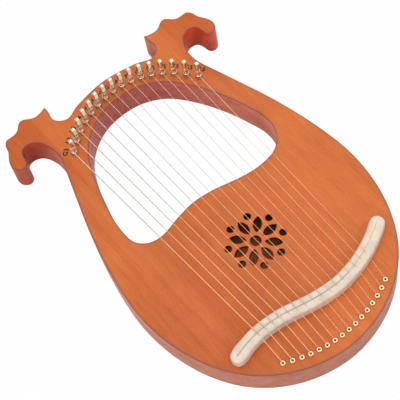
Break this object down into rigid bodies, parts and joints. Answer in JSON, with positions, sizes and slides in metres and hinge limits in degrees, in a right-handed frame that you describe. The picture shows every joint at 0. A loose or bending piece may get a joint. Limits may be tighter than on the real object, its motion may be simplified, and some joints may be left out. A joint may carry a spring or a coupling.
{
  "type": "lyre harp",
  "caption": "Lyre harp with a hollow bowl-shaped body, scrolled horns, a hand opening, a curved bridge and strings wound on tuning pins.",
  "frame": {"origin": "middle of the body's outline on the underside of the back board", "axes": "+Z out of the soundboard, +Y from the tail towards the crown, +X to the right with the crown up"},
  "size_m": [0.2788, 0.43, 0.061],
  "materials": {
    "stained_mahogany": "satin orange-brown stain",
    "mahogany_sides": "satin red-brown stain",
    "raw_wood": "unfinished",
    "bone": "smooth cream",
    "string_steel": "drawn wire",
    "nickel_plate": "polished",
    "brass": "polished"
  },
  "bodies": {
    "body": {"soundboard": "stained_mahogany", "body_frame": "mahogany_sides", "back_board": "stained_mahogany", "tail_block": "raw_wood", "bridge_brace": "raw_wood", "upper_brace": "raw_wood", "bridge": "bone", "saddle_rod": "string_steel", "string_01": "string_steel", "string_02": "string_steel", "string_03": "string_steel", "string_04": "string_steel", "string_05": "string_steel", "string_06": "string_steel", "string_07": "string_steel", "string_08": "string_steel", "string_09": "string_steel", "string_10": "string_steel", "string_11": "string_steel", "string_12": "string_steel", "string_13": "string_steel", "string_14": "string_steel", "string_15": "string_steel", "string_16": "string_steel", "eyelet_01": "brass", "eyelet_02": "brass", "eyelet_03": "brass", "eyelet_04": "brass", "eyelet_05": "brass", "eyelet_06": "brass", "eyelet_07": "brass", "eyelet_08": "brass", "eyelet_09": "brass", "eyelet_10": "brass", "eyelet_11": "brass", "eyelet_12": "brass", "eyelet_13": "brass", "eyelet_14": "brass", "eyelet_15": "brass", "eyelet_16": "brass"},
    "pin_01": {"tuning_pin_01": "nickel_plate"},
    "pin_02": {"tuning_pin_02": "nickel_plate"},
    "pin_03": {"tuning_pin_03": "nickel_plate"},
    "pin_04": {"tuning_pin_04": "nickel_plate"},
    "pin_05": {"tuning_pin_05": "nickel_plate"},
    "pin_06": {"tuning_pin_06": "nickel_plate"},
    "pin_07": {"tuning_pin_07": "nickel_plate"},
    "pin_08": {"tuning_pin_08": "nickel_plate"},
    "pin_09": {"tuning_pin_09": "nickel_plate"},
    "pin_10": {"tuning_pin_10": "nickel_plate"},
    "pin_11": {"tuning_pin_11": "nickel_plate"},
    "pin_12": {"tuning_pin_12": "nickel_plate"},
    "pin_13": {"tuning_pin_13": "nickel_plate"},
    "pin_14": {"tuning_pin_14": "nickel_plate"},
    "pin_15": {"tuning_pin_15": "nickel_plate"},
    "pin_16": {"tuning_pin_16": "nickel_plate"}
  },
  "joints": [
    {"name": "pin_01_turn", "type": "hinge", "parent": "body", "child": "pin_01", "pos_m": [-0.0778, 0.14098, 0.035], "axis": [0, 0, 1], "range_deg": [-90, 900]},
    {"name": "pin_02_turn", "type": "hinge", "parent": "body", "child": "pin_02", "pos_m": [-0.06761, 0.15016, 0.035], "axis": [0, 0, 1], "range_deg": [-90, 900]},
    {"name": "pin_03_turn", "type": "hinge", "parent": "body", "child": "pin_03", "pos_m": [-0.057, 0.15767, 0.035], "axis": [0, 0, 1], "range_deg": [-90, 900]},
    {"name": "pin_04_turn", "type": "hinge", "parent": "body", "child": "pin_04", "pos_m": [-0.04605, 0.16342, 0.035], "axis": [0, 0, 1], "range_deg": [-90, 900]},
    {"name": "pin_05_turn", "type": "hinge", "parent": "body", "child": "pin_05", "pos_m": [-0.03484, 0.16781, 0.035], "axis": [0, 0, 1], "range_deg": [-90, 900]},
    {"name": "pin_06_turn", "type": "hinge", "parent": "body", "child": "pin_06", "pos_m": [-0.02346, 0.17133, 0.035], "axis": [0, 0, 1], "range_deg": [-90, 900]},
    {"name": "pin_07_turn", "type": "hinge", "parent": "body", "child": "pin_07", "pos_m": [-0.01199, 0.17373, 0.035], "axis": [0, 0, 1], "range_deg": [-90, 900]},
    {"name": "pin_08_turn", "type": "hinge", "parent": "body", "child": "pin_08", "pos_m": [-0.00051, 0.17458, 0.035], "axis": [0, 0, 1], "range_deg": [-90, 900]},
    {"name": "pin_09_turn", "type": "hinge", "parent": "body", "child": "pin_09", "pos_m": [0.01088, 0.17372, 0.035], "axis": [0, 0, 1], "range_deg": [-90, 900]},
    {"name": "pin_10_turn", "type": "hinge", "parent": "body", "child": "pin_10", "pos_m": [0.02212, 0.17137, 0.035], "axis": [0, 0, 1], "range_deg": [-90, 900]},
    {"name": "pin_11_turn", "type": "hinge", "parent": "body", "child": "pin_11", "pos_m": [0.0331, 0.16771, 0.035], "axis": [0, 0, 1], "range_deg": [-90, 900]},
    {"name": "pin_12_turn", "type": "hinge", "parent": "body", "child": "pin_12", "pos_m": [0.04376, 0.16283, 0.035], "axis": [0, 0, 1], "range_deg": [-90, 900]},
    {"name": "pin_13_turn", "type": "hinge", "parent": "body", "child": "pin_13", "pos_m": [0.054, 0.15645, 0.035], "axis": [0, 0, 1], "range_deg": [-90, 900]},
    {"name": "pin_14_turn", "type": "hinge", "parent": "body", "child": "pin_14", "pos_m": [0.06374, 0.14791, 0.035], "axis": [0, 0, 1], "range_deg": [-90, 900]},
    {"name": "pin_15_turn", "type": "hinge", "parent": "body", "child": "pin_15", "pos_m": [0.07291, 0.13768, 0.035], "axis": [0, 0, 1], "range_deg": [-90, 900]},
    {"name": "pin_16_turn", "type": "hinge", "parent": "body", "child": "pin_16", "pos_m": [0.0814, 0.12631, 0.035], "axis": [0, 0, 1], "range_deg": [-90, 900]}
  ]
}
